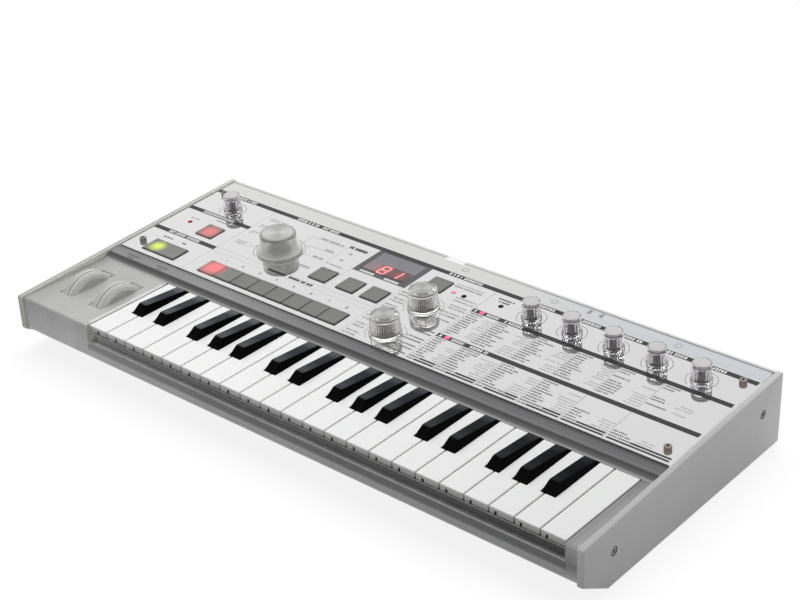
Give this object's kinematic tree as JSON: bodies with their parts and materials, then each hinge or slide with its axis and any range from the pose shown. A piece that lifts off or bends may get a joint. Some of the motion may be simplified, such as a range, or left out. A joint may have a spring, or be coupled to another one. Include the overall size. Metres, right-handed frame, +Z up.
{
  "type": "mini synthesizer",
  "caption": "Compact keyboard synthesizer with small sprung keys, pitch and modulation wheels, turning knobs and push buttons in a smoky clear case with silver side plates.",
  "frame": {"origin": "centre of the footprint, on the surface that the feet stand on", "axes": "+X to the player's right along the keyboard, +Y away from the player, +Z up"},
  "size_m": [0.524, 0.232, 0.0693],
  "materials": {
    "silver_paint": "satin silver paint",
    "smoky_clear": "smoky clear moulded plastic",
    "white_gloss_print": "glossy clear sheet with white back print",
    "ivory_white": "white key plastic",
    "gloss_black": "black key plastic",
    "clear_knob": "frosted clear plastic with a silver cap",
    "smoky_button": "smoky clear button plastic",
    "dark_frame": "moulded grain",
    "green_board": "circuit board lacquer"
  },
  "bodies": {
    "case": {"bottom_case": "smoky_clear", "top_case": "smoky_clear", "left_cheek": "silver_paint", "right_cheek": "silver_paint", "control_panel": "white_gloss_print", "key_frame": "dark_frame", "main_board": "green_board"},
    "volume_knob": {"volume_knob": "clear_knob"},
    "program_select_knob": {"program_select_knob": "clear_knob"},
    "edit_select_knob_upper": {"edit_select_knob_upper": "clear_knob"},
    "edit_select_knob_lower": {"edit_select_knob_lower": "clear_knob"},
    "edit_knob_1": {"edit_knob_1": "clear_knob"},
    "edit_knob_2": {"edit_knob_2": "clear_knob"},
    "edit_knob_3": {"edit_knob_3": "clear_knob"},
    "edit_knob_4": {"edit_knob_4": "clear_knob"},
    "edit_knob_5": {"edit_knob_5": "clear_knob"},
    "pitch_wheel": {"pitch_wheel": "smoky_clear"},
    "modulation_wheel": {"modulation_wheel": "smoky_clear"},
    "white_key_01": {"white_key_01": "ivory_white"},
    "white_key_02": {"white_key_02": "ivory_white"},
    "white_key_03": {"white_key_03": "ivory_white"},
    "white_key_04": {"white_key_04": "ivory_white"},
    "white_key_05": {"white_key_05": "ivory_white"},
    "white_key_06": {"white_key_06": "ivory_white"},
    "white_key_07": {"white_key_07": "ivory_white"},
    "white_key_08": {"white_key_08": "ivory_white"},
    "white_key_09": {"white_key_09": "ivory_white"},
    "white_key_10": {"white_key_10": "ivory_white"},
    "white_key_11": {"white_key_11": "ivory_white"},
    "white_key_12": {"white_key_12": "ivory_white"},
    "white_key_13": {"white_key_13": "ivory_white"},
    "white_key_14": {"white_key_14": "ivory_white"},
    "white_key_15": {"white_key_15": "ivory_white"},
    "white_key_16": {"white_key_16": "ivory_white"},
    "white_key_17": {"white_key_17": "ivory_white"},
    "white_key_18": {"white_key_18": "ivory_white"},
    "white_key_19": {"white_key_19": "ivory_white"},
    "white_key_20": {"white_key_20": "ivory_white"},
    "white_key_21": {"white_key_21": "ivory_white"},
    "white_key_22": {"white_key_22": "ivory_white"},
    "black_key_01": {"black_key_01": "gloss_black"},
    "black_key_02": {"black_key_02": "gloss_black"},
    "black_key_04": {"black_key_04": "gloss_black"},
    "black_key_05": {"black_key_05": "gloss_black"},
    "black_key_06": {"black_key_06": "gloss_black"},
    "black_key_08": {"black_key_08": "gloss_black"},
    "black_key_09": {"black_key_09": "gloss_black"},
    "black_key_11": {"black_key_11": "gloss_black"},
    "black_key_12": {"black_key_12": "gloss_black"},
    "black_key_13": {"black_key_13": "gloss_black"},
    "black_key_15": {"black_key_15": "gloss_black"},
    "black_key_16": {"black_key_16": "gloss_black"},
    "black_key_18": {"black_key_18": "gloss_black"},
    "black_key_19": {"black_key_19": "gloss_black"},
    "black_key_20": {"black_key_20": "gloss_black"},
    "arpeggiator_button": {"arpeggiator_button": "smoky_button"},
    "timbre_button": {"timbre_button": "smoky_button"},
    "function_buttons": {"function_buttons": "smoky_button"},
    "program_buttons": {"program_buttons": "smoky_button"},
    "octave_shift_rocker": {"octave_shift_rocker": "smoky_button"}
  },
  "joints": [
    {"name": "volume_turn", "type": "hinge", "parent": "case", "child": "volume_knob", "pos_m": [-0.22149, 0.076, 0.05389], "axis": [0, -0.0478, 0.9989], "range_deg": [-150, 150]},
    {"name": "program_select_turn", "type": "hinge", "parent": "case", "child": "program_select_knob", "pos_m": [-0.14249, 0.04851, 0.05257], "axis": [0, -0.0478, 0.9989], "range_deg": [-157.5, 157.5]},
    {"name": "edit_select_turn_upper", "type": "hinge", "parent": "case", "child": "edit_select_knob_upper", "pos_m": [0.00561, 0.046, 0.05245], "axis": [0, -0.0478, 0.9989], "range_deg": [-150, 150]},
    {"name": "edit_select_turn_lower", "type": "hinge", "parent": "case", "child": "edit_select_knob_lower", "pos_m": [0.00561, 0.0036, 0.05042], "axis": [0, -0.0478, 0.9989], "range_deg": [-150, 150]},
    {"name": "edit_turn_1", "type": "hinge", "parent": "case", "child": "edit_knob_1", "pos_m": [0.07989, 0.078, 0.05398], "axis": [0, -0.0478, 0.9989], "range_deg": [-150, 150]},
    {"name": "edit_turn_2", "type": "hinge", "parent": "case", "child": "edit_knob_2", "pos_m": [0.11529, 0.078, 0.05398], "axis": [0, -0.0478, 0.9989], "range_deg": [-150, 150]},
    {"name": "edit_turn_3", "type": "hinge", "parent": "case", "child": "edit_knob_3", "pos_m": [0.15069, 0.078, 0.05398], "axis": [0, -0.0478, 0.9989], "range_deg": [-150, 150]},
    {"name": "edit_turn_4", "type": "hinge", "parent": "case", "child": "edit_knob_4", "pos_m": [0.18609, 0.078, 0.05398], "axis": [0, -0.0478, 0.9989], "range_deg": [-150, 150]},
    {"name": "edit_turn_5", "type": "hinge", "parent": "case", "child": "edit_knob_5", "pos_m": [0.22149, 0.078, 0.05398], "axis": [0, -0.0478, 0.9989], "range_deg": [-150, 150]},
    {"name": "pitch_bend", "type": "hinge", "parent": "case", "child": "pitch_wheel", "pos_m": [-0.2345, -0.0695, 0.0295], "axis": [-1, 0, 0], "range_deg": [-40, 40], "stiffness_Nm_per_rad": 0.04},
    {"name": "modulation_turn", "type": "hinge", "parent": "case", "child": "modulation_wheel", "pos_m": [-0.2015, -0.0695, 0.0295], "axis": [-1, 0, 0], "range_deg": [0, 80]},
    {"name": "white_key_01_press", "type": "hinge", "parent": "case", "child": "white_key_01", "pos_m": [0, -0.0165, 0.0395], "axis": [1, 0, 0], "range_deg": [0, 2.4], "stiffness_Nm_per_rad": 0.3, "springref_deg": -5.73},
    {"name": "white_key_02_press", "type": "hinge", "parent": "case", "child": "white_key_02", "pos_m": [0, -0.0165, 0.0395], "axis": [1, 0, 0], "range_deg": [0, 2.4], "stiffness_Nm_per_rad": 0.3, "springref_deg": -5.73},
    {"name": "white_key_03_press", "type": "hinge", "parent": "case", "child": "white_key_03", "pos_m": [0, -0.0165, 0.0395], "axis": [1, 0, 0], "range_deg": [0, 2.4], "stiffness_Nm_per_rad": 0.3, "springref_deg": -5.73},
    {"name": "white_key_04_press", "type": "hinge", "parent": "case", "child": "white_key_04", "pos_m": [0, -0.0165, 0.0395], "axis": [1, 0, 0], "range_deg": [0, 2.4], "stiffness_Nm_per_rad": 0.3, "springref_deg": -5.73},
    {"name": "white_key_05_press", "type": "hinge", "parent": "case", "child": "white_key_05", "pos_m": [0, -0.0165, 0.0395], "axis": [1, 0, 0], "range_deg": [0, 2.4], "stiffness_Nm_per_rad": 0.3, "springref_deg": -5.73},
    {"name": "white_key_06_press", "type": "hinge", "parent": "case", "child": "white_key_06", "pos_m": [0, -0.0165, 0.0395], "axis": [1, 0, 0], "range_deg": [0, 2.4], "stiffness_Nm_per_rad": 0.3, "springref_deg": -5.73},
    {"name": "white_key_07_press", "type": "hinge", "parent": "case", "child": "white_key_07", "pos_m": [0, -0.0165, 0.0395], "axis": [1, 0, 0], "range_deg": [0, 2.4], "stiffness_Nm_per_rad": 0.3, "springref_deg": -5.73},
    {"name": "white_key_08_press", "type": "hinge", "parent": "case", "child": "white_key_08", "pos_m": [0, -0.0165, 0.0395], "axis": [1, 0, 0], "range_deg": [0, 2.4], "stiffness_Nm_per_rad": 0.3, "springref_deg": -5.73},
    {"name": "white_key_09_press", "type": "hinge", "parent": "case", "child": "white_key_09", "pos_m": [0, -0.0165, 0.0395], "axis": [1, 0, 0], "range_deg": [0, 2.4], "stiffness_Nm_per_rad": 0.3, "springref_deg": -5.73},
    {"name": "white_key_10_press", "type": "hinge", "parent": "case", "child": "white_key_10", "pos_m": [0, -0.0165, 0.0395], "axis": [1, 0, 0], "range_deg": [0, 2.4], "stiffness_Nm_per_rad": 0.3, "springref_deg": -5.73},
    {"name": "white_key_11_press", "type": "hinge", "parent": "case", "child": "white_key_11", "pos_m": [0, -0.0165, 0.0395], "axis": [1, 0, 0], "range_deg": [0, 2.4], "stiffness_Nm_per_rad": 0.3, "springref_deg": -5.73},
    {"name": "white_key_12_press", "type": "hinge", "parent": "case", "child": "white_key_12", "pos_m": [0, -0.0165, 0.0395], "axis": [1, 0, 0], "range_deg": [0, 2.4], "stiffness_Nm_per_rad": 0.3, "springref_deg": -5.73},
    {"name": "white_key_13_press", "type": "hinge", "parent": "case", "child": "white_key_13", "pos_m": [0, -0.0165, 0.0395], "axis": [1, 0, 0], "range_deg": [0, 2.4], "stiffness_Nm_per_rad": 0.3, "springref_deg": -5.73},
    {"name": "white_key_14_press", "type": "hinge", "parent": "case", "child": "white_key_14", "pos_m": [0, -0.0165, 0.0395], "axis": [1, 0, 0], "range_deg": [0, 2.4], "stiffness_Nm_per_rad": 0.3, "springref_deg": -5.73},
    {"name": "white_key_15_press", "type": "hinge", "parent": "case", "child": "white_key_15", "pos_m": [0, -0.0165, 0.0395], "axis": [1, 0, 0], "range_deg": [0, 2.4], "stiffness_Nm_per_rad": 0.3, "springref_deg": -5.73},
    {"name": "white_key_16_press", "type": "hinge", "parent": "case", "child": "white_key_16", "pos_m": [0, -0.0165, 0.0395], "axis": [1, 0, 0], "range_deg": [0, 2.4], "stiffness_Nm_per_rad": 0.3, "springref_deg": -5.73},
    {"name": "white_key_17_press", "type": "hinge", "parent": "case", "child": "white_key_17", "pos_m": [0, -0.0165, 0.0395], "axis": [1, 0, 0], "range_deg": [0, 2.4], "stiffness_Nm_per_rad": 0.3, "springref_deg": -5.73},
    {"name": "white_key_18_press", "type": "hinge", "parent": "case", "child": "white_key_18", "pos_m": [0, -0.0165, 0.0395], "axis": [1, 0, 0], "range_deg": [0, 2.4], "stiffness_Nm_per_rad": 0.3, "springref_deg": -5.73},
    {"name": "white_key_19_press", "type": "hinge", "parent": "case", "child": "white_key_19", "pos_m": [0, -0.0165, 0.0395], "axis": [1, 0, 0], "range_deg": [0, 2.4], "stiffness_Nm_per_rad": 0.3, "springref_deg": -5.73},
    {"name": "white_key_20_press", "type": "hinge", "parent": "case", "child": "white_key_20", "pos_m": [0, -0.0165, 0.0395], "axis": [1, 0, 0], "range_deg": [0, 2.4], "stiffness_Nm_per_rad": 0.3, "springref_deg": -5.73},
    {"name": "white_key_21_press", "type": "hinge", "parent": "case", "child": "white_key_21", "pos_m": [0, -0.0165, 0.0395], "axis": [1, 0, 0], "range_deg": [0, 2.4], "stiffness_Nm_per_rad": 0.3, "springref_deg": -5.73},
    {"name": "white_key_22_press", "type": "hinge", "parent": "case", "child": "white_key_22", "pos_m": [0, -0.0165, 0.0395], "axis": [1, 0, 0], "range_deg": [0, 2.4], "stiffness_Nm_per_rad": 0.3, "springref_deg": -5.73},
    {"name": "black_key_01_press", "type": "hinge", "parent": "case", "child": "black_key_01", "pos_m": [0, -0.0165, 0.0395], "axis": [1, 0, 0], "range_deg": [0, 2.4], "stiffness_Nm_per_rad": 0.3, "springref_deg": -5.73},
    {"name": "black_key_02_press", "type": "hinge", "parent": "case", "child": "black_key_02", "pos_m": [0, -0.0165, 0.0395], "axis": [1, 0, 0], "range_deg": [0, 2.4], "stiffness_Nm_per_rad": 0.3, "springref_deg": -5.73},
    {"name": "black_key_04_press", "type": "hinge", "parent": "case", "child": "black_key_04", "pos_m": [0, -0.0165, 0.0395], "axis": [1, 0, 0], "range_deg": [0, 2.4], "stiffness_Nm_per_rad": 0.3, "springref_deg": -5.73},
    {"name": "black_key_05_press", "type": "hinge", "parent": "case", "child": "black_key_05", "pos_m": [0, -0.0165, 0.0395], "axis": [1, 0, 0], "range_deg": [0, 2.4], "stiffness_Nm_per_rad": 0.3, "springref_deg": -5.73},
    {"name": "black_key_06_press", "type": "hinge", "parent": "case", "child": "black_key_06", "pos_m": [0, -0.0165, 0.0395], "axis": [1, 0, 0], "range_deg": [0, 2.4], "stiffness_Nm_per_rad": 0.3, "springref_deg": -5.73},
    {"name": "black_key_08_press", "type": "hinge", "parent": "case", "child": "black_key_08", "pos_m": [0, -0.0165, 0.0395], "axis": [1, 0, 0], "range_deg": [0, 2.4], "stiffness_Nm_per_rad": 0.3, "springref_deg": -5.73},
    {"name": "black_key_09_press", "type": "hinge", "parent": "case", "child": "black_key_09", "pos_m": [0, -0.0165, 0.0395], "axis": [1, 0, 0], "range_deg": [0, 2.4], "stiffness_Nm_per_rad": 0.3, "springref_deg": -5.73},
    {"name": "black_key_11_press", "type": "hinge", "parent": "case", "child": "black_key_11", "pos_m": [0, -0.0165, 0.0395], "axis": [1, 0, 0], "range_deg": [0, 2.4], "stiffness_Nm_per_rad": 0.3, "springref_deg": -5.73},
    {"name": "black_key_12_press", "type": "hinge", "parent": "case", "child": "black_key_12", "pos_m": [0, -0.0165, 0.0395], "axis": [1, 0, 0], "range_deg": [0, 2.4], "stiffness_Nm_per_rad": 0.3, "springref_deg": -5.73},
    {"name": "black_key_13_press", "type": "hinge", "parent": "case", "child": "black_key_13", "pos_m": [0, -0.0165, 0.0395], "axis": [1, 0, 0], "range_deg": [0, 2.4], "stiffness_Nm_per_rad": 0.3, "springref_deg": -5.73},
    {"name": "black_key_15_press", "type": "hinge", "parent": "case", "child": "black_key_15", "pos_m": [0, -0.0165, 0.0395], "axis": [1, 0, 0], "range_deg": [0, 2.4], "stiffness_Nm_per_rad": 0.3, "springref_deg": -5.73},
    {"name": "black_key_16_press", "type": "hinge", "parent": "case", "child": "black_key_16", "pos_m": [0, -0.0165, 0.0395], "axis": [1, 0, 0], "range_deg": [0, 2.4], "stiffness_Nm_per_rad": 0.3, "springref_deg": -5.73},
    {"name": "black_key_18_press", "type": "hinge", "parent": "case", "child": "black_key_18", "pos_m": [0, -0.0165, 0.0395], "axis": [1, 0, 0], "range_deg": [0, 2.4], "stiffness_Nm_per_rad": 0.3, "springref_deg": -5.73},
    {"name": "black_key_19_press", "type": "hinge", "parent": "case", "child": "black_key_19", "pos_m": [0, -0.0165, 0.0395], "axis": [1, 0, 0], "range_deg": [0, 2.4], "stiffness_Nm_per_rad": 0.3, "springref_deg": -5.73},
    {"name": "black_key_20_press", "type": "hinge", "parent": "case", "child": "black_key_20", "pos_m": [0, -0.0165, 0.0395], "axis": [1, 0, 0], "range_deg": [0, 2.4], "stiffness_Nm_per_rad": 0.3, "springref_deg": -5.73},
    {"name": "arpeggiator_button_press", "type": "slide", "parent": "case", "child": "arpeggiator_button", "axis": [0, 0.0478, -0.9989], "range_m": [0, 0.001], "stiffness_N_per_m": 300, "springref_m": -0.002},
    {"name": "timbre_button_press", "type": "slide", "parent": "case", "child": "timbre_button", "axis": [0, 0.0478, -0.9989], "range_m": [0, 0.001], "stiffness_N_per_m": 300, "springref_m": -0.002},
    {"name": "function_buttons_press", "type": "slide", "parent": "case", "child": "function_buttons", "axis": [0, 0.0478, -0.9989], "range_m": [0, 0.001], "stiffness_N_per_m": 600, "springref_m": -0.002},
    {"name": "program_buttons_press", "type": "slide", "parent": "case", "child": "program_buttons", "axis": [0, 0.0478, -0.9989], "range_m": [0, 0.001], "stiffness_N_per_m": 600, "springref_m": -0.002},
    {"name": "octave_shift_rock", "type": "hinge", "parent": "case", "child": "octave_shift_rocker", "pos_m": [-0.22001, -0.00072, 0.04421], "axis": [0, 0.9989, 0.0478], "range_deg": [-1.5, 1.5], "stiffness_Nm_per_rad": 0.3}
  ]
}
